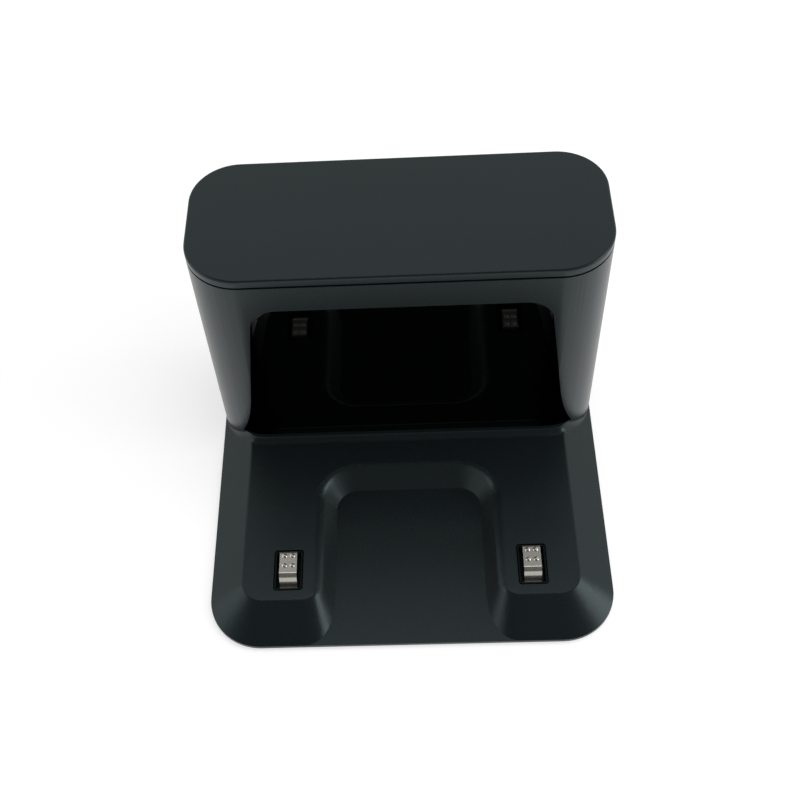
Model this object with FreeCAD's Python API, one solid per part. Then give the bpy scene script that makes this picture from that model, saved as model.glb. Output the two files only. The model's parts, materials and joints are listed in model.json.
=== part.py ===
import FreeCAD, Part
import math
import os

# Robot vacuum charging dock: a hollow tower with a glossy beacon window, and in front of it a low
# sloped deck with two sprung charging contacts and an open bay for the robot's caster.
# Millimetres. X runs to the right, Y to the back and Z up. The origin is under the middle of the box.

V = FreeCAD.Vector
UP = V(0, 0, 1)

# Overall sizes
width = 150.0
depth = 145.0
height = 104.0
tower_depth = 58.0
tower_front_corner = 20.0
tower_back_corner = 18.0
tower_wall = 2.2

# Top cover
cover_edge = 4.0            # height of the cover's visible edge
cover_wall = 2.2
cover_rounding = 0.9        # rounding of the cover's top edge
seam_height = 0.8           # shadow groove between the cover and the tower
seam_depth = 1.2
skirt_depth = 3.0           # locating rim inside the tower
skirt_wall = 1.4
skirt_gap = 0.2

# Base plate and feet
foot_stand = 1.0            # feet stand this far out below the plate
foot_radius = 6.0
foot_pocket = 0.6
foot_chamfer = 0.5
foot_gap = 0.1
foot_side_inset = 18.0      # from the side of the base to a foot's centre
foot_front_inset = 17.0
foot_back_inset = 14.0
plate_thickness = 1.5

# Deck: a raised U with sloped sides round the caster bay
deck_height = 10.0
deck_wall = 2.0
deck_inset = 0.15           # the deck's foot stands this far inside the tower's sides
side_run = 12.5             # plan width of the slopes
front_run = 14.8
base_corner = 20.0
deck_corner = 8.0
rim_radius = 1.6            # crisp edge of the deck's flat top
bay_rim_radius = 6.0        # soft edge along the bay's sides
cove_radius = 4.5           # hollow between the deck and the tower
cove_bury = 1.0
cove_sink = 0.03            # the hollow's edges dip this far into the tower and the deck
cove_start = -90.0          # angles round the tower's front corner, counted from its side
cove_fade_start = -65.0
cove_end = -15.0
cove_step = 5.0
cove_end_radius = 0.6
cove_trials = 100           # places per radius that are tried for a ball's point of rest

# Caster bay, open to the front
arm_width = 47.0            # from the dock's side to the foot of the bay's slope
bay_side_run = 5.8
bay_rear_gap = 21.7         # from the tower's front wall to the foot of the bay's rear slope
bay_rear_run = 7.5
bay_foot_corner = 8.5
bay_rim_corner = 15.0
mouth_width = 12.0          # flare of the bay's foot at the front edge
mouth_length = 22.5
mouth_rim = 7.0

# Beacon window
window_top_gap = 12.0       # below the seam
window_sill = 11.7
window_top_inset = 22.4     # insets of the bell's outline from the tower's side
window_waist_inset = 15.6
window_knee_inset = 14.0
window_foot_inset = 9.4
window_waist_height = 35.0
window_knee_height = 22.0
window_corner = 10.0
window_gap = 0.25
window_foot_recess = 0.3    # the glossy face stands this far behind the wall at its foot
window_flange = 2.5         # width and thickness of the rim behind the wall
window_flange_thickness = 2.0
window_seat_gap = 0.1

# Charging contacts
contact_inset = 29.8        # from the dock's side to the contact's middle
contact_setback = 27.1      # from the front edge to the contact's middle
pocket_width = 11.0
pocket_length = 16.8
pocket_corner = 1.2
frame_gap = 0.35            # between the pocket and the guide frame
frame_wall = 0.7
frame_sink = 0.15           # the frame's top edge lies this far below the deck
frame_lift = 2.5            # of the frame's foot above the base plate
frame_block_margin = 1.5
frame_pad_width = 2.0       # pads on the base plate that hold the frame up against the deck
frame_pad_reach = 4.5       # from the contact's middle to a pad's middle
plunger_gap = 0.35
plunger_stop_gap = 0.2
plunger_stop_thickness = 1.2
plunger_stop_reach = 0.9
plunger_under_gap = 0.4     # left under the plunger when it is pressed
contact_travel = 1.6
strip_width = 6.5
strip_thickness = 0.5
strip_stand = 1.9           # the strip's top stands this far above the deck
strip_leg_sink = 1.4
strip_nose_run = 10.2       # from the rear leg to the corner above the front ramp
strip_foot_sink = 2.6
strip_ramp_run = 2.1
strip_tail = 0.3
strip_front_gap = 0.8       # between the strip and the guide frame
strip_rear_gap = 0.4
strip_bend = 0.5            # inside radius of the rear bend
strip_nose_bend = 2.1
strip_foot_bend = 0.9
dimple_radius = 1.0
dimple_crown = 0.5
dimple_height = 0.42
dimple_pitch_x = 2.9
dimple_pitch_y = 4.0
dimple_setback = 4.0        # from the rear leg to the middle of the dimples, over the spring
spring_radius = 2.1
spring_wire = 0.45
spring_turns = 3
spring_bore_gap = 0.35
terminal_radius = 3.0
terminal_thickness = 0.4
terminal_tab_width = 3.6
terminal_tab_reach = 8.0
spigot_radius = 1.3
spigot_height = 2.2
spigot_gap = 0.15

# Fasteners
base_screw_radius = 1.45
base_screw_head = 2.8
base_screw_depth = 5.6      # length above the base plate
base_head_height = 1.2
screw_gap = 0.1
boss_radius = 3.5
tower_boss_height = 20.0
boss_rib = 1.6
arm_screw_inset = 21.0      # from the dock's side
arm_screw_setback = 25.4    # behind the contact's middle
tower_screw_inset = 9.0
tower_screw_setback = 28.5  # in front of the dock's back

# Power inlet and supply board
inlet_edge = 14.0           # from the board's end to the inlet's middle
inlet_z = 22.0
inlet_width = 26.0
inlet_height = 15.0
inlet_depth = 13.0
inlet_spigot_width = 20.0
inlet_spigot_height = 11.0
inlet_spigot_gap = 0.2
inlet_sink = 0.2
socket_width = 17.0
socket_height = 8.4
socket_depth = 11.0
pin_radius = 1.2
pin_pitch = 8.6
pin_tag = 2.0
cradle_rib = 1.6
cradle_depth = 8.0
cradle_gap = 0.3
board_thickness = 1.6
board_half = 54.0
board_front_gap = 17.5      # behind the tower's front
board_back_gap = 6.5        # in front of the dock's back
standoff_height = 6.0
standoff_radius = 2.8
standoff_inset = 4.0
peg_radius = 1.3            # on the two front standoffs
peg_stand = 0.6             # above the board
peg_gap = 0.1
transformer_x = -14.0
transformer_width = 32.0
transformer_length = 26.0
transformer_height = 26.0
core_length = 12.0
winding_width = 22.0
winding_height = 17.0
winding_corner = 3.0
bobbin_foot = 3.0
bulk_x = 14.0
bulk_shift = 6.0            # in front of the board's middle
bulk_radius = 8.0
bulk_height = 28.0
output_x = -45.0
output_radius = 4.0
output_height = 14.0
output_pitch = 10.0
can_chamfer = 0.8
sink_x = -35.0
sink_length = 22.0
sink_height = 24.0
sink_fin_reach = 5.0
sink_fin = 1.2
sink_fins = 5
sink_fin_gap = 1.0          # above the output capacitors
choke_x = 16.0
choke_edge = 7.0            # in front of the board's back edge
choke_radius = 5.0
choke_winding = 4.2
choke_height = 9.0
choke_flange = 1.2
fuse_edge = 16.0            # from the board's end to the fuse's middle
fuse_length = 20.0
fuse_radius = 2.5
fuse_tube = 2.2
fuse_cap = 5.0
fuse_lift = 1.0

# Beacon board behind the window
ir_board_inset = 29.0       # from the dock's side to the board's end
ir_board_foot = 30.0
ir_board_top_gap = 3.0      # below the seam
ir_board_gap = 7.3          # from the front wall's inside to the board
ir_stop_edge = 8.0          # from the board's end to the stop that it leans on
ir_stop_drop = 6.5          # below the seam
ir_stop_width = 5.0
post_edge = 6.0             # from the board's end
post_width = 8.0
post_depth = 7.0
post_slot = 6.0
post_slot_gap = 0.1
led_pitch = 20.0
led_z = 60.0
led_radius = 2.5
led_barrel = 2.6
led_crown = 1.4
led_crown_radius = 1.3
baffle_height = 20.0
baffle_wall = 1.6
baffle_gap = 0.5

# Leads held inside
lead_radius = 0.7
lead_clearance = 0.8        # behind the plunger's stop
lead_landing = 1.0          # behind the board's front edge
ribbon_x = -24.0
ribbon_width = 12.0
ribbon_thickness = 0.4
ribbon_bend = 4.0
ribbon_lift = 6.0           # above the beacon board's lower edge
ribbon_landing = 2.5        # behind the supply board's front edge

touching = 1e-6

# Places worked out from the sizes above
half_width = width / 2
front = -depth / 2
back = depth / 2
tower_front = back - tower_depth
seam = height - cover_edge
plate_bottom = foot_stand
plate_top = plate_bottom + plate_thickness
rise = deck_height - plate_top
deck_ceiling = deck_height - deck_wall
base_half = half_width - deck_inset
bay_half = half_width - arm_width
bay_rim_half = bay_half + bay_side_run
wall_inside = tower_front + tower_wall
back_inside = back - tower_wall
window_top = seam - window_top_gap
contact_x = half_width - contact_inset
contact_y = front + contact_setback
plunger_floor = plate_top + terminal_thickness + plunger_under_gap + contact_travel
frame_foot = plate_top + frame_lift
frame_shoulder = plunger_floor + plunger_stop_thickness + plunger_stop_gap
strip_top = deck_height + strip_stand
strip_rear_leg = deck_height - strip_leg_sink
strip_ramp_foot = deck_height - strip_foot_sink
arm_screw = (half_width - arm_screw_inset, contact_y + arm_screw_setback)
tower_screw = (half_width - tower_screw_inset, back - tower_screw_setback)
board_bottom = plate_top + standoff_height
board_top = board_bottom + board_thickness
board_front = tower_front + board_front_gap
board_back = back - board_back_gap
board_middle = (board_front + board_back) / 2
standoff_x = board_half - standoff_inset
peg_row = board_front + standoff_inset
plain_row = board_back - standoff_inset
inlet_x = board_half - inlet_edge
fuse_x = board_half - fuse_edge
tag_end = back_inside - inlet_depth - pin_tag
ir_board_half = half_width - ir_board_inset
ir_board_top = seam - ir_board_top_gap
ir_stop_x = ir_board_half - ir_stop_edge
ir_stop_z = seam - ir_stop_drop
post_x = ir_board_half - post_edge
ir_face = wall_inside + ir_board_gap
ir_back = ir_face + board_thickness


# Builders of wires and plain solids

def outline(corners):
    """Closed wire of straight runs through corners, each given as (point, rounding).

    A rounding is 0 for a sharp corner, a radius for a tangent arc, or a pair of reaches, before
    and after the corner, for a parabolic curve.
    """
    edges = []
    stretches = []
    count = len(corners)
    for index, (point, rounding) in enumerate(corners):
        if rounding == 0:
            stretches.append((point, None, point))
            continue
        before = (corners[index - 1][0] - point).normalize()
        after = (corners[(index + 1) % count][0] - point).normalize()
        if isinstance(rounding, tuple):
            first, last = point + before * rounding[0], point + after * rounding[1]
            curve = Part.BezierCurve()
            curve.setPoles([first, point, last])
        else:
            half_angle = before.getAngle(after) / 2
            reach = rounding / math.tan(half_angle)
            first, last = point + before * reach, point + after * reach
            middle = (before + after).normalize()
            crown = point + middle * (rounding / math.sin(half_angle) - rounding)
            curve = Part.Arc(first, crown, last)
        stretches.append((first, curve.toShape(), last))
    for index, (first, curve, last) in enumerate(stretches):
        if curve:
            edges.append(curve)
        following = stretches[(index + 1) % count][0]
        if last.distanceToPoint(following) > touching:
            edges.append(Part.LineSegment(last, following).toShape())
    return Part.Wire(edges)


def prism(corners, direction):
    return Part.Face(outline(corners)).extrude(direction)


def block(x_range, y_range, z_range):
    size = [high - low for low, high in (x_range, y_range, z_range)]
    return Part.makeBox(*size, V(x_range[0], y_range[0], z_range[0]))


def about(middle, size):
    return (middle - size / 2, middle + size / 2)


def rounded_block(x_range, y_range, z_range, radius):
    (left, right), (near, far), (bottom, top) = x_range, y_range, z_range
    corners = [(V(x, y, bottom), radius) for x, y in ((left, near), (right, near), (right, far), (left, far))]
    return prism(corners, UP * (top - bottom))


def rod(radius, start, direction):
    return Part.makeCylinder(radius, direction.Length, start, direction)


def turned(profile, axis_point):
    """Solid of revolution from (radius, height) pairs about a vertical axis."""
    corners = [(axis_point + V(radius, 0, level), 0) for radius, level in profile]
    return Part.Face(outline(corners)).revolve(axis_point, UP, 360)


def both_sides(x):
    return (-x, x)


def mirrored(shape):
    return shape.mirror(V(0, 0, 0), V(1, 0, 0))


def bent_strip(corners, thickness, across):
    """Sheet strip: a rounded path thickened to its left, seen along the width vector."""
    points = [point for point, _ in corners]
    sideways = across.normalize()
    normals = [sideways.cross(b - a).normalize() for a, b in zip(points, points[1:])]
    inner = []
    for index, (point, rounding) in enumerate(corners):
        near = normals[max(index - 1, 0)]
        far = normals[min(index, len(normals) - 1)]
        shift = (near + far) * (thickness / (1 + near.dot(far)))
        turn = near.cross(far).dot(sideways)
        bend = max(rounding - math.copysign(thickness, turn), 0) if rounding else 0
        inner.append((point + shift, bend))
    return corners + inner[::-1]


# Outlines shared by the mouldings

def tower_outline(z, inset):
    """Plan of the tower at a height, inset from its outside."""
    half, near, far = half_width - inset, tower_front + inset, back - inset
    front_radius, back_radius = tower_front_corner - inset, tower_back_corner - inset
    return [(V(-half, near, z), front_radius), (V(half, near, z), front_radius),
            (V(half, far, z), back_radius), (V(-half, far, z), back_radius)]


def tower_block(inset, bottom, top):
    return prism(tower_outline(bottom, inset), UP * (top - bottom))


def deck_outline(z, wall):
    """Plan of the raised U at a height, a wall's thickness inside its sloped skin."""
    part_way = (z - plate_top) / rise

    def inset(run):
        return run * part_way + wall * math.hypot(run, rise) / rise

    def between(foot, rim):
        return foot + (rim - foot) * part_way

    half = base_half - inset(side_run)
    nose = front + inset(front_run)
    corner = between(base_corner, deck_corner) - wall
    bay = bay_half + inset(bay_side_run)
    bay_rear = tower_front - bay_rear_gap + inset(bay_rear_run)
    bay_corner = between(bay_foot_corner, bay_rim_corner) + wall
    reach_x = between(mouth_width, mouth_rim) - wall
    reach_y = between(mouth_length, mouth_rim) - wall
    rear = back - tower_back_corner
    return [(V(half, rear, z), 0), (V(half, nose, z), corner), (V(bay, nose, z), (reach_x, reach_y)),
            (V(bay, bay_rear, z), bay_corner), (V(-bay, bay_rear, z), bay_corner),
            (V(-bay, nose, z), (reach_y, reach_x)), (V(-half, nose, z), corner), (V(-half, rear, z), 0)]


def deck_body(top, wall):
    wires = [outline(deck_outline(z, wall)) for z in (plate_top, top)]
    return Part.makeLoft(wires, True, True)


def window_outline(y, grow):
    """Bell-shaped opening of the window in the front wall, grown all round."""
    foot, knee, waist, top = [half_width - inset + grow for inset in (
        window_foot_inset, window_knee_inset, window_waist_inset, window_top_inset)]
    sill, crown = window_sill - grow, window_top + grow
    lower = math.hypot(foot - knee, window_knee_height - sill)
    upper = math.hypot(knee - waist, window_waist_height - window_knee_height)
    right = [(V(foot, y, sill), 0), (V(knee, y, window_knee_height), (lower, upper)),
             (V(top, y, crown), window_corner + grow)]
    left = [(V(-foot, y, sill), 0), (V(-knee, y, window_knee_height), (upper, lower)),
            (V(-top, y, crown), window_corner + grow)]
    return right + left[::-1]


def window_prism(grow):
    near, far = tower_front - cove_radius, tower_front + tower_front_corner
    return prism(window_outline(near, grow), V(0, far - near, 0))


# Main housing

def deck_level(x):
    """Height of the deck's top at a place between the middle and the foot of its side slope."""
    rim = base_half - side_run
    pitch = math.atan2(rise, side_run)
    reach = rim_radius * math.tan(pitch / 2)
    past = x - (rim - reach)
    if past <= 0:
        return deck_height
    if past >= reach + reach * math.cos(pitch):
        return deck_height - (x - rim) * math.tan(pitch)
    return deck_height - rim_radius + math.sqrt(rim_radius ** 2 - past ** 2)


def cove_section(angle, radius):
    """Section of the hollow in a plane through the axis of the tower's right front corner.

    Its arc is that of a ball which rests on the deck and touches the tower.
    """
    turn = math.radians(angle)
    outward = V(math.cos(turn), math.sin(turn), 0)
    axis = V(half_width - tower_front_corner, tower_front + tower_front_corner, 0)
    middle = tower_front_corner + radius - cove_sink

    def lift(reach):
        return deck_level(axis.x + outward.x * reach) + math.sqrt(radius ** 2 - (reach - middle) ** 2)

    trials = [middle + radius * trial / cove_trials for trial in range(1 - cove_trials, cove_trials)]
    toe = max(trials, key=lift)
    level = lift(toe) - cove_sink
    ball = axis + outward * middle + UP * level
    end = math.acos((middle - toe) / radius)
    arc = [ball - outward * (radius * math.cos(a)) - UP * (radius * math.sin(a)) for a in (0, end / 2, end)]
    buried = cove_bury * radius / cove_radius
    root = axis + outward * (tower_front_corner - buried)
    root.z = deck_level(axis.x + outward.x * tower_front_corner) - buried
    edges = [Part.Arc(*arc).toShape(), Part.LineSegment(arc[2], root).toShape(),
             Part.LineSegment(root, arc[0]).toShape()]
    return Part.Wire(edges)


def cove():
    """Hollow along the tower's foot, which fades out round the corners."""
    sections = []
    for station in range(round((cove_end - cove_start) / cove_step) + 1):
        angle = cove_start + cove_step * station
        share = max((angle - cove_fade_start) / (cove_end - cove_fade_start), 0)
        fade = (1 + math.cos(math.pi * share)) / 2
        sections.append(cove_section(angle, cove_end_radius + (cove_radius - cove_end_radius) * fade))
    straight = Part.Face(sections[0]).extrude(V(2 * tower_front_corner - width, 0, 0))
    corner = Part.makeLoft(sections, True, False)
    return straight.fuse([corner, mirrored(corner)])


def rim_rounding(point):
    """Radius of the deck's top edge at a point on it."""
    return bay_rim_radius if abs(abs(point.x) - bay_rim_half) < touching else rim_radius


def soft_deck():
    """Deck with its top edge rounded, and the radius changing round the corners of the bay."""
    document = FreeCAD.newDocument()
    raw = document.addObject("Part::Feature", "deck")
    raw.Shape = deck_body(deck_height, 0)
    rim = []
    for number, edge in enumerate(raw.Shape.Edges, start=1):
        if edge.BoundBox.ZMin > deck_height - touching and edge.CenterOfMass.y < tower_front:
            ends = [edge.valueAt(parameter) for parameter in edge.ParameterRange]
            rim.append((number, rim_rounding(ends[0]), rim_rounding(ends[1])))
    rounded = document.addObject("Part::Fillet", "rounded_deck")
    rounded.Base = raw
    rounded.Edges = rim
    document.recompute()
    return rounded.Shape


def outer_skin():
    return tower_block(0, plate_top, seam).fuse(soft_deck())


def screw_places():
    return [V(side * x, y, plate_top) for x, y in (arm_screw, tower_screw) for side in (-1, 1)]


def housing_bosses():
    bosses = []
    for side in (-1, 1):
        x, y = side * arm_screw[0], arm_screw[1]
        bosses.append(rod(boss_radius, V(x, y, plate_top), UP * (rise - deck_wall / 2)))
        x, y = side * tower_screw[0], tower_screw[1]
        bosses.append(rod(boss_radius, V(x, y, plate_top), UP * tower_boss_height))
        reach = sorted((x, side * (half_width - tower_wall / 2)))
        bosses.append(block(reach, about(y, boss_rib), (plate_top, plate_top + tower_boss_height)))
        bosses.append(block(about(side * ir_stop_x, ir_stop_width), (tower_front + tower_wall / 2, ir_face),
                            about(ir_stop_z, ir_stop_width)))
        rib_x = inlet_x + side * (inlet_width / 2 + cradle_gap + cradle_rib / 2)
        bosses.append(block(about(rib_x, cradle_rib), (back_inside - cradle_depth, back - tower_wall / 2),
                            about(inlet_z, inlet_height)))
    return bosses


def stadium(middle, size_x, size_z, direction):
    """Slot with round ends, lying along X, cut or raised along Y."""
    half, radius = size_x / 2, size_z / 2
    corners = [(middle + V(x, 0, z), radius) for x, z in (
        (-half, -radius), (half, -radius), (half, radius), (-half, radius))]
    return prism(corners, direction)


def main_housing():
    hollow = tower_block(tower_wall, plate_top, seam).fuse(deck_body(deck_ceiling, deck_wall))
    shell = outer_skin().cut(hollow).fuse(housing_bosses()).fuse(cove())
    cuts = [window_prism(0)]
    for place in screw_places():
        cuts.append(rod(base_screw_radius + screw_gap, place, UP * (base_screw_depth + screw_gap)))
    for side in (-1, 1):
        cuts.append(rounded_block(about(side * contact_x, pocket_width), about(contact_y, pocket_length),
                                  (frame_foot, deck_height), pocket_corner))
    cuts.append(stadium(V(inlet_x, back_inside, inlet_z), inlet_spigot_width + 2 * inlet_spigot_gap,
                        inlet_spigot_height + 2 * inlet_spigot_gap, V(0, tower_wall, 0)))
    return shell.cut(cuts).removeSplitter()


# Covers, window and feet

def top_cover():
    plate = tower_block(0, seam, height)
    top_edge = [edge for edge in plate.Edges if edge.BoundBox.ZMin > height - touching]
    plate = plate.makeFillet(cover_rounding, top_edge)
    rim = tower_wall + skirt_gap
    skirt = tower_block(rim, seam - skirt_depth, seam + seam_height)
    hollow = tower_block(rim + skirt_wall, seam - skirt_depth, height - cover_wall)
    groove = tower_block(0, seam, seam + seam_height).cut(tower_block(seam_depth, seam, seam + seam_height))
    return plate.cut(groove).fuse(skirt).cut(hollow).removeSplitter()


def foot_places():
    x = half_width - foot_side_inset
    near, far = front + foot_front_inset, back - foot_back_inset
    return {"front_left": V(-x, near, 0), "front_right": V(x, near, 0),
            "rear_left": V(-x, far, 0), "rear_right": V(x, far, 0)}


def foot(place):
    top = foot_stand + foot_pocket
    return turned([(0, 0), (foot_radius - foot_chamfer, 0), (foot_radius, foot_chamfer), (foot_radius, top),
                   (0, top)], place)


def base_plate():
    far = back - deck_inset
    corners = ((-base_half, front, base_corner), (base_half, front, base_corner),
               (base_half, far, tower_back_corner), (-base_half, far, tower_back_corner))
    floor = prism([(V(x, y, plate_bottom), radius) for x, y, radius in corners], UP * plate_thickness)
    raised = []
    slots = []
    for side in (-1, 1):
        raised.append(rod(spigot_radius, V(side * contact_x, spring_y(), plate_top), UP * spigot_height))
        for y in (peg_row, plain_row):
            raised.append(rod(standoff_radius, V(side * standoff_x, y, plate_top), UP * standoff_height))
        raised.append(rod(peg_radius, V(side * standoff_x, peg_row, board_bottom),
                          UP * (board_thickness + peg_stand)))
        for reach in both_sides(frame_pad_reach):
            for y_range in frame_end_walls():
                raised.append(block(about(side * contact_x + reach, frame_pad_width), y_range,
                                    (plate_top, frame_foot)))
        post = block(about(side * post_x, post_width), about(ir_face + board_thickness / 2, post_depth),
                     (plate_top, ir_board_foot + post_slot))
        raised.append(post)
        slots.append(block(about(side * post_x, post_width),
                           (ir_face - post_slot_gap, ir_back + post_slot_gap),
                           (ir_board_foot, ir_board_foot + post_slot)))
    for place in foot_places().values():
        slots.append(rod(foot_radius + foot_gap, place + UP * plate_bottom, UP * foot_pocket))
    for place in screw_places():
        slots.append(turned(countersink(screw_gap), V(place.x, place.y, plate_bottom)))
    return floor.fuse(raised).cut(slots).removeSplitter()


def countersink(gap):
    """Profile of a countersunk head flush with the underside, and of its shank through the plate."""
    shank, head = base_screw_radius + gap, base_screw_head + gap
    return [(0, 0), (head, 0), (shank, base_head_height), (shank, plate_thickness), (0, plate_thickness)]


def ir_window():
    flange_near = tower_wall + window_seat_gap
    flange_far = flange_near + window_flange_thickness
    bottom, top = window_sill - window_flange, window_top + window_flange
    slant = [(V(-half_width, y, z), 0) for y, z in (
        (tower_front + window_foot_recess, bottom), (back, bottom), (back, top), (wall_inside, top))]
    front_body = tower_block(window_foot_recess, bottom, top).common(prism(slant, V(width, 0, 0)))
    face_body = front_body.cut(tower_block(flange_far, bottom, top))
    flange_body = tower_block(flange_near, bottom, top).cut(tower_block(flange_far, bottom, top))
    pane = window_prism(-window_gap).common(face_body)
    flange = window_prism(window_flange).common(flange_body)
    return pane.fuse(flange).removeSplitter()


# Charging contacts, made for the right-hand pocket and mirrored

def frame_outer():
    return pocket_width - 2 * frame_gap, pocket_length - 2 * frame_gap


def frame_inner():
    return tuple(size - 2 * frame_wall for size in frame_outer())


def strip_ends():
    half_length = frame_inner()[1] / 2
    return contact_y - half_length + strip_front_gap, contact_y + half_length - strip_rear_gap


def spring_y():
    return strip_ends()[1] - dimple_setback


def stop_size():
    return tuple(size + 2 * plunger_stop_reach for size in frame_inner())


def frame_body():
    return tuple(size + 2 * frame_block_margin for size in frame_outer())


def frame_recess():
    return tuple(size + 2 * plunger_gap for size in stop_size())


def frame_end_walls():
    """Extent along Y of the frame's front and rear walls, round the recess for the plunger's stop."""
    inside, outside = frame_recess()[1] / 2, frame_body()[1] / 2
    return (contact_y - outside, contact_y - inside), (contact_y + inside, contact_y + outside)


def contact_frame():
    (outer_x, outer_y), (inner_x, inner_y) = frame_outer(), frame_inner()
    (body_x, body_y), (recess_x, recess_y) = frame_body(), frame_recess()
    sleeve = rounded_block(about(contact_x, outer_x), about(contact_y, outer_y),
                           (frame_foot, deck_height - frame_sink), pocket_corner - frame_gap)
    body = block(about(contact_x, body_x), about(contact_y, body_y), (frame_foot, deck_ceiling))
    holes = [block(about(contact_x, inner_x), about(contact_y, inner_y), (frame_foot, deck_height)),
             block(about(contact_x, recess_x), about(contact_y, recess_y), (frame_foot, frame_shoulder))]
    return body.fuse(sleeve).cut(holes).removeSplitter()


def strip_path(x):
    """Bent contact strip from the foot of its rear leg, over the flat top and down the front ramp."""
    near, far = strip_ends()
    nose = far - strip_nose_run
    ramp_foot = nose - strip_ramp_run
    return [(V(x, far, strip_rear_leg), 0), (V(x, far, strip_top), strip_bend + strip_thickness),
            (V(x, nose, strip_top), strip_nose_bend + strip_thickness),
            (V(x, ramp_foot, strip_ramp_foot), strip_foot_bend),
            (V(x, near, strip_ramp_foot - strip_tail), 0)]


def contact_plate():
    path = strip_path(contact_x - strip_width / 2)
    strip = prism(bent_strip(path, strip_thickness, V(1, 0, 0)), V(strip_width, 0, 0))
    profile = [(0, 0), (dimple_radius, 0), (dimple_crown, dimple_height), (0, dimple_height)]
    dimples = [turned(profile, V(contact_x + x, spring_y() + y, strip_top))
               for x in both_sides(dimple_pitch_x / 2) for y in both_sides(dimple_pitch_y / 2)]
    return strip.fuse(dimples).removeSplitter()


def contact_plunger():
    """Carrier under the strip: a narrow head, a guided body and a stop flange, bored for the spring."""
    head_path = strip_path(contact_x - strip_width / 2)
    inner = bent_strip(head_path, strip_thickness, V(1, 0, 0))[len(head_path):]
    near, far = inner[0][0].y, inner[-1][0].y
    guide_top = strip_ramp_foot - strip_tail - strip_thickness
    closing = [(V(inner[0][0].x, far, guide_top), 0), (V(inner[0][0].x, near, guide_top), 0)]
    head = prism(inner + closing, V(strip_width, 0, 0))
    inner_x, inner_y = [size - 2 * plunger_gap for size in frame_inner()]
    stop_x, stop_y = stop_size()
    guide = block(about(contact_x, inner_x), about(contact_y, inner_y), (plunger_floor, guide_top))
    stop = block(about(contact_x, stop_x), about(contact_y, stop_y),
                 (plunger_floor, plunger_floor + plunger_stop_thickness))
    bore = rod(spring_radius + spring_bore_gap, V(contact_x, spring_y(), plunger_floor),
               UP * (strip_top - plunger_floor))
    return head.fuse([guide, stop]).cut(bore).removeSplitter()


def contact_spring():
    """Coil of square wire between the terminal and the strip."""
    radius = spring_radius - spring_wire / 2
    bottom = plate_top + terminal_thickness + spring_wire / 2
    length = strip_top - strip_thickness - spring_wire / 2 - bottom
    coil = Part.makeHelix(length / spring_turns, length, radius)
    coil.translate(V(contact_x, spring_y(), bottom))
    side = spring_wire / 2
    section = outline([(V(contact_x + radius + x, spring_y(), bottom + z), 0)
                       for x, z in ((-side, -side), (side, -side), (side, side), (-side, side))])
    return Part.Wire(coil.Edges).makePipeShell([section], True, True)


def contact_terminal():
    seat = rod(terminal_radius, V(contact_x, spring_y(), plate_top), UP * terminal_thickness)
    tab = block(about(contact_x, terminal_tab_width), (spring_y(), spring_y() + terminal_tab_reach),
                (plate_top, plate_top + terminal_thickness))
    hole = rod(spigot_radius + spigot_gap, V(contact_x, spring_y(), plate_top), UP * terminal_thickness)
    return seat.fuse(tab).cut(hole).removeSplitter()


def contact_lead():
    """Straight lead from the terminal's tab to the underside of the supply board."""
    start = V(contact_x, contact_y + stop_size()[1] / 2 + lead_clearance,
              plate_top + terminal_thickness + lead_radius)
    end = V(contact_x, board_front + lead_landing, board_bottom - lead_radius)
    return rod(lead_radius, start, end - start)


# Fasteners

def base_screw(place):
    shank = rod(base_screw_radius, place, UP * base_screw_depth)
    head = turned(countersink(0), V(place.x, place.y, plate_bottom))
    return head.fuse(shank).removeSplitter()


# Power inlet and supply

def power_inlet():
    face = back - inlet_sink
    rear = back_inside - inlet_depth
    body = block(about(inlet_x, inlet_width), (rear, back_inside), about(inlet_z, inlet_height))
    spigot = stadium(V(inlet_x, back_inside, inlet_z), inlet_spigot_width, inlet_spigot_height,
                     V(0, face - back_inside, 0))
    socket = stadium(V(inlet_x, face, inlet_z), socket_width, socket_height, V(0, -socket_depth, 0))
    holes = [rod(pin_radius + screw_gap, V(inlet_x + x, rear, inlet_z), V(0, inlet_depth, 0))
             for x in both_sides(pin_pitch / 2)]
    return body.fuse(spigot).cut([socket] + holes).removeSplitter()


def inlet_pins():
    return [rod(pin_radius, V(inlet_x + x, tag_end, inlet_z), V(0, back_inside - tag_end, 0))
            for x in both_sides(pin_pitch / 2)]


def inlet_leads():
    """Straight leads from the pins' tags down to the supply board."""
    return [rod(lead_radius, V(inlet_x + x, tag_end + pin_tag / 2, board_top),
                UP * (inlet_z - pin_radius - board_top)) for x in both_sides(pin_pitch / 2)]


def psu_board():
    board = block((-board_half, board_half), (board_front, board_back), (board_bottom, board_top))
    holes = [rod(peg_radius + peg_gap, V(side * standoff_x, peg_row, board_bottom), UP * board_thickness)
             for side in (-1, 1)]
    return board.cut(holes)


def transformer():
    middle = board_top + bobbin_foot + (transformer_height - bobbin_foot) / 2
    foot_flange = block(about(transformer_x, transformer_width), about(board_middle, transformer_length),
                        (board_top, board_top + bobbin_foot))
    core = block(about(transformer_x, transformer_width), about(board_middle, core_length),
                 (board_top + bobbin_foot, board_top + transformer_height))
    winding = rounded_block(about(transformer_x, winding_width), about(board_middle, transformer_length),
                            about(middle, winding_height), winding_corner)
    return foot_flange.fuse([core, winding]).removeSplitter()


def capacitor(place, radius, tall):
    """Round can with a chamfered top."""
    return turned([(0, 0), (radius, 0), (radius, tall - can_chamfer), (radius - can_chamfer, tall),
                   (0, tall)], place)


def output_capacitors():
    return [capacitor(V(output_x, board_middle + y, board_top), output_radius, output_height)
            for y in both_sides(output_pitch / 2)]


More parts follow.
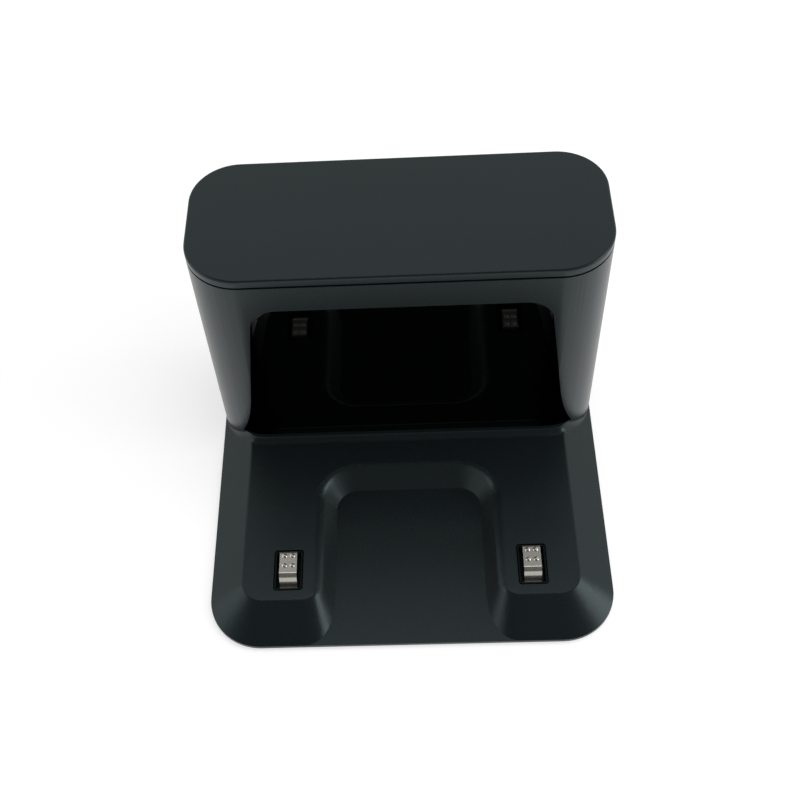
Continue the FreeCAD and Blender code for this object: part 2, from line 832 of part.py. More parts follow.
def heat_sink():
    near, far = about(board_middle + standoff_inset, sink_length)
    top = board_top + sink_height
    web = block((sink_x, sink_x + 2 * sink_fin), (near, far), (board_top, top))
    pitch = (sink_length - sink_fin) / (sink_fins - 1)
    fins = [block((sink_x - sink_fin_reach, sink_x), (near + i * pitch, near + i * pitch + sink_fin),
                  (board_top + output_height + sink_fin_gap, top)) for i in range(sink_fins)]
    return web.fuse(fins).removeSplitter()


def choke():
    """Drum core with its winding between two flanges."""
    upper = choke_height - choke_flange
    profile = [(0, 0), (choke_radius, 0), (choke_radius, choke_flange), (choke_winding, choke_flange),
               (choke_winding, upper), (choke_radius, upper), (choke_radius, choke_height), (0, choke_height)]
    return turned(profile, V(choke_x, board_back - choke_edge, board_top))


def fuse():
    level = board_top + fuse_lift + fuse_radius
    start = fuse_x - fuse_length / 2
    tube = rod(fuse_tube, V(start, peg_row, level), V(fuse_length, 0, 0))
    ends = []
    for x in (start, start + fuse_length - fuse_cap):
        ends.append(rod(fuse_radius, V(x, peg_row, level), V(fuse_cap, 0, 0)))
        ends.append(block((x, x + fuse_cap), about(peg_row, fuse_radius), (board_top, level)))
    return tube.fuse(ends).removeSplitter()


# Beacon

def ir_board():
    return block((-ir_board_half, ir_board_half), (ir_face, ir_back), (ir_board_foot, ir_board_top))


def ir_leds():
    """Three beacon lamps, each a barrel with a tapered crown, pointing to the front."""
    tip = led_barrel + led_crown
    profile = [(0, 0), (led_radius, 0), (led_radius, led_barrel), (led_crown_radius, tip), (0, tip)]
    lamps = []
    for index in (-1, 0, 1):
        lamp = turned(profile, V(0, 0, 0))
        lamp.rotate(V(0, 0, 0), V(1, 0, 0), 90)
        lamp.translate(V(index * led_pitch, ir_face, led_z))
        lamps.append(lamp)
    return lamps


def ir_baffle():
    near = wall_inside + window_seat_gap + window_flange_thickness + baffle_gap
    frame = block(about(0, 3 * led_pitch + baffle_wall), (near, ir_face), about(led_z, baffle_height))
    cells = [block(about(index * led_pitch, led_pitch - baffle_wall), (near, ir_face),
                   about(led_z, baffle_height - 2 * baffle_wall)) for index in (-1, 0, 1)]
    return frame.cut(cells)


def ir_ribbon():
    level = ir_board_foot + ribbon_lift
    x = ribbon_x - ribbon_width / 2
    y = board_front + ribbon_landing
    path = [(V(x, ir_back, level), 0), (V(x, y, level), ribbon_bend), (V(x, y, board_top), 0)]
    return prism(bent_strip(path, ribbon_thickness, V(-1, 0, 0)), V(ribbon_width, 0, 0))


# Assembly

def left_and_right(name, shape):
    return {name + "_left": mirrored(shape), name + "_right": shape}


def pieces():
    made = {"main_housing": main_housing(), "top_cover": top_cover(), "base_plate": base_plate(),
            "ir_window": ir_window()}
    for name, place in foot_places().items():
        made["foot_" + name] = foot(place)
    made["base_screws"] = Part.makeCompound([base_screw(place) for place in screw_places()])
    for name, build in (("contact_frame", contact_frame), ("contact_plate", contact_plate),
                        ("contact_plunger", contact_plunger), ("contact_spring", contact_spring),
                        ("contact_terminal", contact_terminal), ("contact_lead", contact_lead)):
        made.update(left_and_right(name, build()))
    for name, build in (("inlet_pins", inlet_pins), ("inlet_leads", inlet_leads),
                        ("output_capacitors", output_capacitors), ("ir_leds", ir_leds)):
        made[name] = Part.makeCompound(build())
    for name, build in (("power_inlet", power_inlet), ("psu_board", psu_board), ("transformer", transformer),
                        ("heat_sink", heat_sink), ("choke", choke), ("fuse", fuse), ("ir_board", ir_board),
                        ("ir_baffle", ir_baffle), ("ir_ribbon", ir_ribbon)):
        made[name] = build()
    place = V(bulk_x, board_middle - bulk_shift, board_top)
    made["bulk_capacitor"] = capacitor(place, bulk_radius, bulk_height)
    return made


os.makedirs("parts", exist_ok=True)
for node, shape in pieces().items():
    shape.exportStep("parts/" + node + ".step")
    print(node, len(shape.Solids), "valid" if shape.isValid() else "INVALID", round(shape.Volume, 1))
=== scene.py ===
"""Charging dock of a robot vacuum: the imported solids, dressed for a studio picture."""
import json
import math

import bpy
from mathutils import Matrix, Vector


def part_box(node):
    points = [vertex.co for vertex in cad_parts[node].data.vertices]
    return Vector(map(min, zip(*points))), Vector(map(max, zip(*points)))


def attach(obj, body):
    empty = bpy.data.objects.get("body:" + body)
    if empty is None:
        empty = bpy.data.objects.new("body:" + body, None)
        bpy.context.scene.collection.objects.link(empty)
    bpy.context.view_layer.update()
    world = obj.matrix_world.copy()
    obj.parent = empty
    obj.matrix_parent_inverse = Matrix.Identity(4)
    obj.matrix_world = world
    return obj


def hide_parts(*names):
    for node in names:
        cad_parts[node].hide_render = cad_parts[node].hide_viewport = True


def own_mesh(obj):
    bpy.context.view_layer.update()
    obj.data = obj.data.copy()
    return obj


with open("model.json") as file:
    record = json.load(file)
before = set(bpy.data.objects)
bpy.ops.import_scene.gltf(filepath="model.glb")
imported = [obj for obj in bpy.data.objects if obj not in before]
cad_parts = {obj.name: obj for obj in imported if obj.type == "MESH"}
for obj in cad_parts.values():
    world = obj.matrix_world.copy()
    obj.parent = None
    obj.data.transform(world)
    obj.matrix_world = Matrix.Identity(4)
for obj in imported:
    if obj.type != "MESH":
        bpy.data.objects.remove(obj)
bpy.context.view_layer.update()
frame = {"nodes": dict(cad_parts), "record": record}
nodes = frame["nodes"]
slot_of_node = {part["node"]: part["material_slot"] for part in frame["record"]["subparts"]}

MM = 0.001
SIDES = ("left", "right")
FOOT_PLACES = ("front_left", "front_right", "rear_left", "rear_right")

# Camera, from the outline of the dock in the photograph
camera_elevation = math.radians(54.33)
camera_azimuth = math.radians(4.27)
camera_roll = math.radians(-5.31)
camera_target = Vector((-13.11, 3.54, 45.85)) * MM
camera_distance = 445.91 * MM
camera_lens = 54.12
image_side = 800
image_middle = (369.24, 404.52)
camera_clip_start = 0.01

# Light levels
sky_level = 0.72
sky_dark_level = 0.05
sky_dark_direction = (0.10, -0.33, 0.94)
sky_dark_inner = 0.80
sky_dark_outer = 0.50
paper_tone = 0.50
paper_roughness = 0.9
floor_glow = 0.62
floor_side = 6.0

# Lamps: place, size, power, and whether glossy surfaces mirror the lamp
lamps = {
    "right_softbox": ((0.77, -0.05, 0.48), (0.45, 0.45), 1.8, True),
    "left_softbox": ((-0.77, 0.05, 0.48), (0.45, 0.45), 0.5, True),
    "rear_strip": ((0.0, 0.25, 1.0), (0.7, 0.2), 0.6, True),
    "overhead_fill": ((0.5, -0.1, 1.35), (1.2, 1.2), 10.0, False),
}

# Sizes of the dressed pieces
tower_front_corner = 20.0 * MM
tower_back_corner = 18.0 * MM
lid_edge = 3.2 * MM
lid_rounding = 0.9 * MM
lid_lower_rounding = 0.15 * MM
seam_height = 0.8 * MM
seam_depth = 1.2 * MM
skirt_inset = 2.4 * MM
skirt_wall = 1.4 * MM
lid_wall = 2.2 * MM
lid_corner_segments = 28
lid_rounding_segments = 6

# Distances from the pane's middle over which its sheen fades to none: a painted shade that takes the
# reflections off its curved borders.
window_painted_shade_inner = 46.0 * MM
window_painted_shade_outer = 54.0 * MM
window_sheen = 0.5
window_ior = 1.46

strip_thickness = 0.5 * MM
strip_bend = 1.0 * MM
strip_nose_bend = 2.6 * MM
strip_knee_bend = 0.6 * MM
strip_foot_bend = 0.9 * MM
strip_leg = 3.3 * MM
strip_ramp_slope = math.radians(56)
strip_knee_reach = 1.25 * MM
strip_knee_drop = 3.15 * MM
strip_foot_reach = 1.05 * MM
strip_foot_drop = 4.45 * MM
strip_end_drop = 4.78 * MM
strip_edge = 0.06 * MM
strip_bend_steps = 12
dimple_height = 0.42 * MM
dimple_radius = 1.0 * MM
dimple_pitch_x = 2.9 * MM
dimple_pitch_y = 4.0 * MM
dimple_setback = 4.0 * MM
dimple_segments = 28
dimple_rings = 24

foot_edge = 0.5 * MM
foot_edge_segments = 5
foot_rings = ((1.3 * MM, 0.6 * MM), (1.0 * MM, 0.6 * MM))       # margin and width of each groove
foot_groove = 0.25 * MM
foot_groove_slope = 0.12 * MM
foot_sides = 72

screw_head_radius = 2.8 * MM
screw_shank_radius = 1.45 * MM
screw_head_height = 1.2 * MM
screw_recess_width = 0.75 * MM
screw_recess_reach = 3.4 * MM
screw_recess_depth = 0.8 * MM
screw_head_rim = 0.1 * MM
screw_tip_length = 0.4 * MM
screw_tip_taper = 0.8
screw_sides = 40
screw_reach = 3 * screw_head_radius     # points nearer than this to one another are of one screw

plate_edge = 0.12 * MM
inlet_edge = 0.15 * MM
guide_edge = 0.12 * MM
edge_segments = 2
grain_depth = 0.02 * MM

# Tolerances and angles of the modelling
same_place = 0.01 * MM
merge_distance = 0.002 * MM
level_normal = 0.9              # a face is level where its normal's Z is beyond this
flat_angle = math.radians(0.5)
corner_angle = math.radians(40)
smooth_angle = math.radians(30)
packed_smooth_angle = math.radians(25)
strip_smooth_angle = math.radians(40)


# Modelling helpers

def deselect():
    bpy.ops.object.select_all(action="DESELECT")


def take(piece):
    """Makes a piece the only selected object and the active one."""
    deselect()
    piece.select_set(True)
    bpy.context.view_layer.objects.active = piece


def started(name):
    """Names the primitive that was just added and puts its place into its mesh."""
    piece = bpy.context.object
    piece.name = name
    piece.data.name = name
    take(piece)
    bpy.ops.object.transform_apply(location=True, rotation=True, scale=True)
    return piece


def block(name, low, high):
    deselect()
    middle = [(a + b) / 2 for a, b in zip(low, high)]
    size = [b - a for a, b in zip(low, high)]
    bpy.ops.mesh.primitive_cube_add(size=1, location=middle, scale=size)
    return started(name)


def pick(piece, kind, test):
    """Goes to edit mode with only the faces or edges selected that pass the test."""
    bpy.ops.object.mode_set(mode="OBJECT")
    mesh = piece.data
    for group in (mesh.vertices, mesh.edges, mesh.polygons):
        group.foreach_set("select", [False] * len(group))
    bpy.context.tool_settings.mesh_select_mode = (False, kind == "EDGE", kind == "FACE")
    for item in mesh.edges if kind == "EDGE" else mesh.polygons:
        item.select = test(item)
    bpy.ops.object.mode_set(mode="EDIT")


def pick_faces(piece, test):
    pick(piece, "FACE", lambda face: test(face.center, face.normal))


def pick_edges(piece, test):
    def ends_pass(edge):
        return test(*[piece.data.vertices[i].co for i in edge.vertices])
    pick(piece, "EDGE", ends_pass)


def near(a, b):
    return abs(a - b) < same_place


def pick_rim(piece, height):
    pick_edges(piece, lambda a, b: near(a.z, height) and near(b.z, height))


def pick_underside(piece, height):
    pick_faces(piece, lambda centre, normal: near(centre.z, height) and normal.z < -level_normal)


def pull(vector):
    bpy.ops.mesh.extrude_region_move(TRANSFORM_OT_translate={"value": vector})


def modified(piece, kind, **settings):
    """Adds a modifier to the active piece, sets it and applies it."""
    bpy.ops.object.modifier_add(type=kind)
    modifier = piece.modifiers[-1]
    for setting, value in settings.items():
        setattr(modifier, setting, value)
    bpy.ops.object.modifier_apply(modifier=modifier.name)


def finish_mesh(piece, angle=smooth_angle):
    """Ends the modelling of a piece with smooth curves between crisp edges."""
    bpy.ops.object.mode_set(mode="OBJECT")
    take(piece)
    bpy.ops.object.shade_smooth_by_angle(angle=angle)
    modified(piece, "WEIGHTED_NORMAL", keep_sharp=True)


def outward(piece):
    """Merges the doubles of a piece and turns its faces outward."""
    take(piece)
    bpy.ops.object.mode_set(mode="EDIT")
    bpy.ops.mesh.select_all(action="SELECT")
    bpy.ops.mesh.remove_doubles(threshold=merge_distance)
    bpy.ops.mesh.normals_make_consistent(inside=False)
    bpy.ops.object.mode_set(mode="OBJECT")


def joined(name, pieces):
    deselect()
    for piece in pieces:
        piece.select_set(True)
    bpy.context.view_layer.objects.active = pieces[0]
    bpy.ops.object.join()
    whole = bpy.context.object
    whole.name = name
    whole.data.name = name
    return whole


def carved(piece, tool):
    """Takes a tool's solid away from a piece, and uses the tool up."""
    take(piece)
    modified(piece, "BOOLEAN", operation="DIFFERENCE", object=tool)
    bpy.data.objects.remove(tool)


def copied(piece, name, shift):
    """Copy of a piece with its own mesh, moved within the mesh."""
    twin = bpy.data.objects.new(name, piece.data.copy())
    twin.data.name = name
    bpy.context.scene.collection.objects.link(twin)
    twin.data.transform(Matrix.Translation(shift))
    return twin


def softened(node, name, edge=0.0):
    """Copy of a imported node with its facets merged, fine rounded edges and smooth curves."""
    piece = bpy.data.objects.new(name, nodes[node].data.copy())
    piece.data.name = name
    bpy.context.scene.collection.objects.link(piece)
    take(piece)
    bpy.ops.object.mode_set(mode="EDIT")
    bpy.ops.mesh.select_all(action="SELECT")
    bpy.ops.mesh.remove_doubles(threshold=merge_distance)
    if edge:
        bpy.ops.mesh.dissolve_limited(angle_limit=flat_angle)
    bpy.ops.object.mode_set(mode="OBJECT")
    if edge:
        modified(piece, "BEVEL", width=edge, segments=edge_segments, limit_method="ANGLE",
                 angle_limit=corner_angle)
    finish_mesh(piece, packed_smooth_angle)
    return piece


def on_each_place(piece, name, node, places):
    """Copies of a piece, modelled at the first place, on every place of its kind."""
    def middle(place):
        low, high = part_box(node + place)
        return (low + high) / 2
    copies = {place: copied(piece, name + place, middle(place) - middle(places[0])) for place in places}
    bpy.data.objects.remove(piece)
    return copies


def dress(piece, body, *replaced):
    """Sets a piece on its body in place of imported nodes, with their finish."""
    slot = slot_of_node[replaced[0]]
    piece.data.materials.clear()
    piece.data.materials.append(finishes[slot])
    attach(piece, body)
    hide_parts(*replaced)


# Finishes

def new_finish(name):
    material = bpy.data.materials.new(name)
    material.use_nodes = True
    tree = material.node_tree
    return material, tree, tree.nodes["Principled BSDF"]


def noise(tree, scale, detail, stretch=(1, 1, 1)):
    """Noise on the piece's own coordinates, in metres, stretched along its axes."""
    place = tree.nodes.new("ShaderNodeTexCoord")
    mapping = tree.nodes.new("ShaderNodeMapping")
    mapping.inputs["Scale"].default_value = stretch
    texture = tree.nodes.new("ShaderNodeTexNoise")
    texture.inputs["Scale"].default_value = scale
    texture.inputs["Detail"].default_value = detail
    tree.links.new(place.outputs["Object"], mapping.inputs["Vector"])
    tree.links.new(mapping.outputs["Vector"], texture.inputs["Vector"])
    return texture.outputs["Fac"]


def tint(colour, factor):
    return (*[min(c * factor, 1.0) for c in colour], 1.0)


def mottle(tree, shader, colour, spread, scale, stretch=(1, 1, 1)):
    """Base colour that wanders a little between a darker and a paler tint."""
    mix = tree.nodes.new("ShaderNodeMix")
    mix.data_type = "RGBA"
    mix.inputs["A"].default_value = tint(colour, 1 - spread)
    mix.inputs["B"].default_value = tint(colour, 1 + spread)
    tree.links.new(noise(tree, scale, detail=3, stretch=stretch), mix.inputs["Factor"])
    tree.links.new(mix.outputs["Result"], shader.inputs["Base Color"])


def grain(tree, shader, scale, strength, roughness, spread, stretch=(1, 1, 1)):
    """Fine surface grain: a bump, and a roughness that follows it."""
    texture = noise(tree, scale, detail=2, stretch=stretch)
    gloss = tree.nodes.new("ShaderNodeMapRange")
    gloss.inputs["To Min"].default_value = roughness - spread
    gloss.inputs["To Max"].default_value = roughness + spread
    bump = tree.nodes.new("ShaderNodeBump")
    bump.inputs["Strength"].default_value = strength
    bump.inputs["Distance"].default_value = grain_depth
    tree.links.new(texture, gloss.inputs["Value"])
    tree.links.new(gloss.outputs["Result"], shader.inputs["Roughness"])
    tree.links.new(texture, bump.inputs["Height"])
    tree.links.new(bump.outputs["Normal"], shader.inputs["Normal"])


def moulded(name, colour, roughness, spread=0.06, texture=2200, strength=0.25, sheen=0.5,
            sheen_tint=(1, 1, 1)):
    """Moulded plastic or rubber with a fine even texture."""
    material, tree, shader = new_finish(name)
    shader.inputs["Specular IOR Level"].default_value = sheen
    shader.inputs["Specular Tint"].default_value = (*sheen_tint, 1)
    mottle(tree, shader, colour, spread, scale=45)
    grain(tree, shader, texture, strength, roughness, spread=0.05)
    return material


def metal(name, colour, roughness, brush=(1, 1, 1), scale=1800, strength=0.15, polish=1.0):
    """Metal with a fine drawn or brushed grain, dulled where its polish is below one."""
    material, tree, shader = new_finish(name)
    shader.inputs["Metallic"].default_value = polish
    mottle(tree, shader, colour, spread=0.07, scale=scale / 8, stretch=brush)
    grain(tree, shader, scale, strength, roughness, spread=0.06, stretch=brush)
    return material


def polished_window():
    """Polished black pane whose sheen fades to none down both sides, a painted shade that keeps its curved
    borders from showing any reflection.
    """
    material, tree, shader = new_finish("polished_window")
    shader.inputs["IOR"].default_value = window_ior
    mottle(tree, shader, (0.0003, 0.0003, 0.0004), spread=0.1, scale=30)
    grain(tree, shader, scale=120, strength=0.004, roughness=0.035, spread=0.012)
    # Sheen faded out by distance from the middle: painted shade on the curved borders.
    place = tree.nodes.new("ShaderNodeTexCoord")
    axes = tree.nodes.new("ShaderNodeSeparateXYZ")
    aside = tree.nodes.new("ShaderNodeMath")
    aside.operation = "ABSOLUTE"
    sheen = tree.nodes.new("ShaderNodeMapRange")
    sheen.inputs["From Min"].default_value = window_painted_shade_inner
    sheen.inputs["From Max"].default_value = window_painted_shade_outer
    sheen.inputs["To Min"].default_value = window_sheen
    sheen.inputs["To Max"].default_value = 0.0
    tree.links.new(place.outputs["Object"], axes.inputs["Vector"])
    tree.links.new(axes.outputs["X"], aside.inputs[0])
    tree.links.new(aside.outputs["Value"], sheen.inputs["Value"])
    tree.links.new(sheen.outputs["Result"], shader.inputs["Specular IOR Level"])
    return material


def board_laminate():
    """Solder mask over woven glass, with the weave just showing."""
    material, tree, shader = new_finish("board_laminate")
    mottle(tree, shader, (0.0090, 0.0690, 0.0250), spread=0.25, scale=900)
    grain(tree, shader, scale=1400, strength=0.2, roughness=0.35, spread=0.06)
    return material


finishes = {
    "housing_plastic": moulded("charcoal_satin_plastic", (0.0078, 0.0108, 0.0120), 0.29,
                               sheen=0.40, sheen_tint=(0.80, 1.0, 1.0)),
    "window_gloss": polished_window(),
    "frame_plastic": moulded("black_guide_plastic", (0.0026, 0.0034, 0.0037), 0.34, texture=3000,
                             sheen=0.14, sheen_tint=(0.80, 1.0, 1.0)),
    "contact_metal": metal("nickel_plate", (0.60, 0.58, 0.53), 0.15, brush=(6, 1, 1), scale=2600,
                           strength=0.06, polish=0.85),
    "foot_rubber": moulded("foot_rubber", (0.0130, 0.0130, 0.0130), 0.82, texture=1500, strength=0.5),
    "screw_steel": metal("zinc_plated_steel", (0.42, 0.42, 0.43), 0.32),
    "spring_steel": metal("drawn_spring_wire", (0.50, 0.50, 0.50), 0.28),
    "terminal_brass": metal("rolled_brass", (0.62, 0.45, 0.17), 0.30, brush=(1, 8, 1)),
    "inlet_plastic": moulded("black_inlet_plastic", (0.0055, 0.0055, 0.0060), 0.45, texture=3000),
    "board_laminate": board_laminate(),
    "core_ferrite": moulded("sintered_ferrite", (0.0270, 0.0270, 0.0320), 0.62, spread=0.2),
    "can_aluminium": moulded("sleeved_can", (0.0340, 0.0395, 0.0685), 0.30, texture=900),
    "sink_aluminium": metal("extruded_aluminium", (0.60, 0.60, 0.61), 0.38, brush=(1, 1, 9)),
    "choke_copper": metal("enamelled_copper", (0.42, 0.16, 0.05), 0.34, brush=(1, 1, 12)),
    "fuse_body": moulded("capped_fuse", (0.58, 0.58, 0.51), 0.22, texture=1200),
    "led_epoxy": moulded("tinted_lamp_epoxy", (0.0610, 0.0450, 0.0890), 0.10, texture=600),
    "lead_sleeve": moulded("lead_sleeve", (0.0452, 0.0130, 0.0116), 0.50, texture=2600),
    "ribbon_film": moulded("flat_cable_film", (0.52, 0.52, 0.51), 0.40, texture=1600),
}


# Pieces

def lid():
    """Flat top cover: a rounded slab over a shadow groove, with its locating rim below."""
    low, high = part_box("top_cover")
    under = high.z - lid_edge
    piece = block("tower_lid", (low.x, low.y, under), high)
    middle_y = (low.y + high.y) / 2
    for in_front, radius in ((True, tower_front_corner), (False, tower_back_corner)):
        pick_edges(piece, lambda a, b: near(a.x, b.x) and near(a.y, b.y) and (a.y < middle_y) == in_front)
        bpy.ops.mesh.bevel(offset=radius, offset_type="OFFSET", segments=lid_corner_segments,
                           affect="EDGES")
    pick_rim(piece, high.z)
    bpy.ops.mesh.bevel(offset=lid_rounding, offset_type="OFFSET", segments=lid_rounding_segments,
                       affect="EDGES")
    pick_rim(piece, under)
    bpy.ops.mesh.bevel(offset=lid_lower_rounding, offset_type="OFFSET", segments=edge_segments,
                       affect="EDGES")
    pick_underside(piece, under)
    bpy.ops.mesh.inset(thickness=seam_depth - lid_lower_rounding)
    pull((0, 0, -seam_height))
    bpy.ops.mesh.inset(thickness=skirt_inset - seam_depth)
    pull((0, 0, low.z - (under - seam_height)))
    bpy.ops.mesh.inset(thickness=skirt_wall)
    pull((0, 0, high.z - lid_wall - low.z))
    finish_mesh(piece)
    return piece


def strip(node):
    """Bent contact strip with two rows of two dimples."""
    low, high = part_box(node)
    top = high.z - dimple_height
    rear, front = high.y, low.y
    knee = front + strip_knee_reach
    nose = knee + strip_knee_drop / math.tan(strip_ramp_slope)
    path = ((rear, strip_leg), (rear, 0), (nose, 0), (knee, strip_knee_drop),
            (front + strip_foot_reach, strip_foot_drop), (front, strip_end_drop))
    corners = [Vector((0, y, top - drop)) for y, drop in path]
    ways = [(b - a).normalized() for a, b in zip(corners, corners[1:])]
    turns = [a.yz.angle_signed(b.yz) for a, b in zip(ways, ways[1:])]
    bends = (strip_bend, strip_nose_bend, strip_knee_bend, strip_foot_bend)
    reach = [0.0] + [bend * math.tan(abs(turn) / 2) for bend, turn in zip(bends, turns)] + [0.0]
    deselect()
    first = (corners[1] - corners[0]).length - reach[1]
    middle_x = (low.x + high.x) / 2
    bpy.ops.mesh.primitive_plane_add(size=1, location=(middle_x, rear, corners[0].z + first / 2),
                                     rotation=(math.pi / 2, 0, 0))
    bpy.context.object.scale = (high.x - low.x, first, 1)
    piece = started("contact_strip")
    pick_rim(piece, corners[0].z + first)
    for index, (bend, turn) in enumerate(zip(bends, turns), start=1):
        along = ways[index - 1]
        inward = Vector((0, -along.z, along.y)) * math.copysign(bend, -turn)
        bpy.ops.mesh.spin(steps=strip_bend_steps, angle=turn, axis=(1, 0, 0),
                          center=corners[index] - along * reach[index] + inward)
        length = (corners[index + 1] - corners[index]).length - reach[index] - reach[index + 1]
        pull(ways[index] * length)
    bpy.ops.object.mode_set(mode="OBJECT")
    outward(piece)
    modified(piece, "SOLIDIFY", thickness=strip_thickness, offset=-1)
    modified(piece, "BEVEL", width=strip_edge, segments=edge_segments)
    middle = Vector((middle_x, rear - dimple_setback, top))
    piece = joined("contact_strip", [piece] + dimples(middle))
    finish_mesh(piece, strip_smooth_angle)
    return piece


def dimples(middle):
    """Two by two raised domes round a point on the strip's flat top."""
    ball = (dimple_radius ** 2 + dimple_height ** 2) / (2 * dimple_height)
    deselect()
    bpy.ops.mesh.primitive_uv_sphere_add(segments=dimple_segments, ring_count=dimple_rings, radius=ball,
                                         location=middle + Vector((0, 0, dimple_height - ball)))
    dome = started("dimple")
    bpy.ops.object.mode_set(mode="EDIT")
    bpy.ops.mesh.select_all(action="SELECT")
    bpy.ops.mesh.bisect(plane_co=middle - Vector((0, 0, strip_edge)), plane_no=(0, 0, 1), clear_inner=True)
    bpy.ops.mesh.select_all(action="DESELECT")
    bpy.context.tool_settings.mesh_select_mode = (False, True, False)
    bpy.ops.mesh.select_non_manifold()
    bpy.ops.mesh.edge_face_add()
    bpy.ops.object.mode_set(mode="OBJECT")
    domes = [copied(dome, "dimple", (x * dimple_pitch_x / 2, y * dimple_pitch_y / 2, 0))
             for x in (-1, 1) for y in (-1, 1)]
    bpy.data.objects.remove(dome)
    return domes


def foot(node):
    """Rubber foot with a rounded rim and two ring grooves in its sole."""
    low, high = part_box(node)
    radius = (high.x - low.x) / 2
    deselect()
    bpy.ops.mesh.primitive_cylinder_add(vertices=foot_sides, radius=radius, depth=high.z - low.z,
                                        location=(low + high) / 2)
    piece = started("rubber_foot")
    pick_rim(piece, low.z)
    bpy.ops.mesh.bevel(offset=foot_edge, offset_type="OFFSET", segments=foot_edge_segments,
                       affect="EDGES")
    pick_underside(piece, low.z)
    for margin, groove in foot_rings:
        bpy.ops.mesh.inset(thickness=margin)
        bpy.ops.mesh.inset(thickness=foot_groove_slope)
        bpy.ops.transform.translate(value=(0, 0, foot_groove))
        bpy.ops.mesh.inset(thickness=groove)
        bpy.ops.mesh.inset(thickness=foot_groove_slope)
        bpy.ops.transform.translate(value=(0, 0, -foot_groove))
    finish_mesh(piece)
    return piece


def base_screws():
    """Countersunk screws with a cross recess, flush with the underside."""
    low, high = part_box("base_screws")
    vertices = nodes["base_screws"].data.vertices
    heads = [v.co for v in vertices if near(v.co.z, low.z)]
    places = []
    for co in heads:
        if not any((co.xy - place).length < screw_reach for place in places):
            group = [v.xy for v in heads if (v.xy - co.xy).length < screw_reach]
            places.append(sum(group, Vector((0, 0))) / len(group))
    first = screw(Vector((*places[0], low.z)), high.z - low.z)
    others = [copied(first, "screw", (*(place - places[0]), 0)) for place in places[1:]]
    return joined("base_plate_screws", [first] + others)


def screw(place, length):
    """One screw, with the middle of its head's face at a place and its tip upward."""
    deselect()
    bpy.ops.mesh.primitive_cylinder_add(vertices=screw_sides, radius=screw_head_radius,
                                        depth=screw_head_rim,
                                        location=place + Vector((0, 0, screw_head_rim / 2)))
    piece = started("screw")
    pick_faces(piece, lambda centre, normal: normal.z > level_normal)
    taper = screw_shank_radius / screw_head_radius
    pull((0, 0, screw_head_height - screw_head_rim))
    bpy.ops.transform.resize(value=(taper, taper, 1), center_override=place)
    pull((0, 0, length - screw_head_height - screw_tip_length))
    pull((0, 0, screw_tip_length))
    bpy.ops.transform.resize(value=(screw_tip_taper, screw_tip_taper, 1), center_override=place)
    bpy.ops.object.mode_set(mode="OBJECT")
    depth = Vector((0, 0, screw_recess_depth))
    for reach in (Vector((screw_recess_reach, screw_recess_width, 0)) / 2,
                  Vector((screw_recess_width, screw_recess_reach, 0)) / 2):
        carved(piece, block("recess", place - reach - depth, place + reach + depth))
    finish_mesh(piece)
    return piece


def dress_packed_nodes():
    """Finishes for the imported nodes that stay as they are."""
    for name, node in nodes.items():
        node.data.materials.clear()
        node.data.materials.append(finishes[slot_of_node[name]])


def build_pieces():
    dress_packed_nodes()
    dress(softened("main_housing", "housing_shell"), "dock", "main_housing")
    dress(softened("ir_window", "beacon_window"), "dock", "ir_window")
    dress(softened("base_plate", "bottom_plate", edge=plate_edge), "dock", "base_plate")
    dress(softened("power_inlet", "inlet_block", edge=inlet_edge), "dock", "power_inlet")
    dress(lid(), "dock", "top_cover")
    dress(base_screws(), "dock", "base_screws")
    guide = softened("contact_frame_left", "guide_frame", edge=guide_edge)
    for side, piece in on_each_place(guide, "guide_frame_", "contact_frame_", SIDES).items():
        dress(piece, "dock", "contact_frame_" + side)
    bent = strip("contact_plate_left")
    for side, piece in on_each_place(bent, "contact_strip_", "contact_plate_", SIDES).items():
        dress(piece, "contact_" + side, "contact_plate_" + side)
    coil = softened("contact_spring_left", "coil_spring")
    for side, piece in on_each_place(coil, "coil_spring_", "contact_spring_", SIDES).items():
        dress(piece, "dock", "contact_spring_" + side)
        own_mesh(piece)
    sole = foot("foot_front_left")
    for place, piece in on_each_place(sole, "rubber_foot_", "foot_", FOOT_PLACES).items():
        dress(piece, "dock", "foot_" + place)


# Studio

def set_camera():
    """Camera at the photograph's place, with its roll, lens and framing."""
    cos_el, sin_el = math.cos(camera_elevation), math.sin(camera_elevation)
    cos_az, sin_az = math.cos(camera_azimuth), math.sin(camera_azimuth)
    back = Vector((sin_az * cos_el, -cos_az * cos_el, sin_el))
    level = Vector((cos_az, sin_az, 0))
    upright = back.cross(level)
    right = level * math.cos(camera_roll) + upright * math.sin(camera_roll)
    up = upright * math.cos(camera_roll) - level * math.sin(camera_roll)
    data = bpy.data.cameras.new("studio_camera")
    data.lens = camera_lens
    data.shift_x = 0.5 - image_middle[0] / image_side
    data.shift_y = image_middle[1] / image_side - 0.5
    data.clip_start = camera_clip_start
    camera = bpy.data.objects.new("studio_camera", data)
    camera.matrix_world = Matrix.Translation(camera_target + back * camera_distance) @ Matrix(
        (right, up, back)).transposed().to_4x4()
    bpy.context.scene.collection.objects.link(camera)
    bpy.context.scene.camera = camera


def seen_directly(tree):
    """One for a ray from the camera or one that a glossy or clear surface sends on, else nought."""
    path = tree.nodes.new("ShaderNodeLightPath")
    result = path.outputs["Is Camera Ray"]
    for ray in ("Is Glossy Ray", "Is Transmission Ray"):
        either = tree.nodes.new("ShaderNodeMath")
        either.operation = "MAXIMUM"
        tree.links.new(result, either.inputs[0])
        tree.links.new(path.outputs[ray], either.inputs[1])
        result = either.outputs["Value"]
    return result


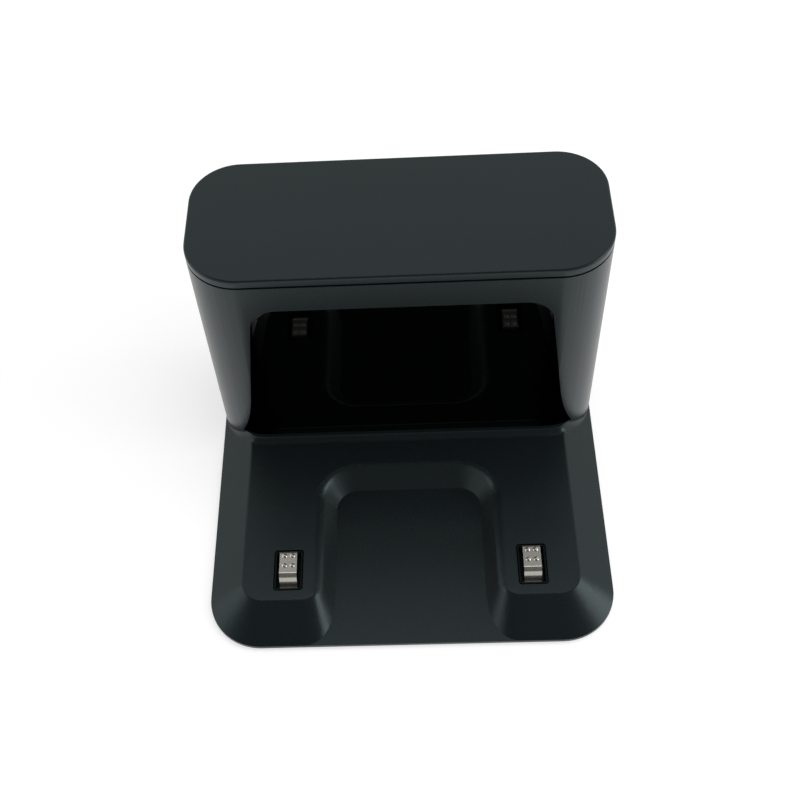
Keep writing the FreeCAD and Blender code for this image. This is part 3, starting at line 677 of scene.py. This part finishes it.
def set_floor():
    """White sweep that keeps the dock's soft shadow."""
    deselect()
    bpy.ops.mesh.primitive_plane_add(size=floor_side, location=(0, 0, 0))
    floor = started("studio_floor")
    material = bpy.data.materials.new("white_sweep")
    material.use_nodes = True
    tree = material.node_tree
    paper = tree.nodes["Principled BSDF"]
    paper.inputs["Base Color"].default_value = (paper_tone, paper_tone, paper_tone, 1)
    paper.inputs["Roughness"].default_value = paper_roughness
    glow = tree.nodes.new("ShaderNodeEmission")
    share = tree.nodes.new("ShaderNodeMath")
    share.operation = "MULTIPLY"
    share.inputs[1].default_value = floor_glow
    both = tree.nodes.new("ShaderNodeAddShader")
    tree.links.new(seen_directly(tree), share.inputs[0])
    tree.links.new(share.outputs["Value"], glow.inputs["Strength"])
    tree.links.new(paper.outputs["BSDF"], both.inputs[0])
    tree.links.new(glow.outputs["Emission"], both.inputs[1])
    tree.links.new(both.outputs["Shader"], tree.nodes["Material Output"].inputs["Surface"])
    floor.data.materials.append(material)


def set_sky():
    """White room with a darker patch above the camera."""
    world = bpy.data.worlds.new("studio_room")
    bpy.context.scene.world = world
    world.use_nodes = True
    tree = world.node_tree
    place = tree.nodes.new("ShaderNodeTexCoord")
    toward = tree.nodes.new("ShaderNodeVectorMath")
    toward.operation = "DOT_PRODUCT"
    toward.inputs[1].default_value = Vector(sky_dark_direction).normalized()
    level = tree.nodes.new("ShaderNodeMapRange")
    level.interpolation_type = "SMOOTHSTEP"
    level.inputs["From Min"].default_value = sky_dark_outer
    level.inputs["From Max"].default_value = sky_dark_inner
    level.inputs["To Min"].default_value = sky_level
    level.inputs["To Max"].default_value = sky_dark_level
    tree.links.new(place.outputs["Generated"], toward.inputs[0])
    tree.links.new(toward.outputs["Value"], level.inputs["Value"])
    tree.links.new(level.outputs["Result"], tree.nodes["Background"].inputs["Strength"])
    tree.nodes["Background"].inputs["Color"].default_value = (1, 1, 1, 1)


def softbox(name, place, size, power, mirrored):
    """Soft lamp that faces the dock, and that glossy surfaces mirror or not."""
    data = bpy.data.lights.new(name, "AREA")
    data.shape = "RECTANGLE"
    data.size, data.size_y = size
    data.energy = power
    lamp = bpy.data.objects.new(name, data)
    lamp.location = place
    lamp.rotation_euler = Vector(place).to_track_quat("Z", "Y").to_euler()
    lamp.visible_glossy = mirrored
    bpy.context.scene.collection.objects.link(lamp)


def set_lamps():
    for name, (place, size, power, mirrored) in lamps.items():
        softbox(name, place, size, power, mirrored)


build_pieces()
set_floor()
set_sky()
set_lamps()
set_camera()
bpy.context.scene.view_settings.view_transform = "Standard"
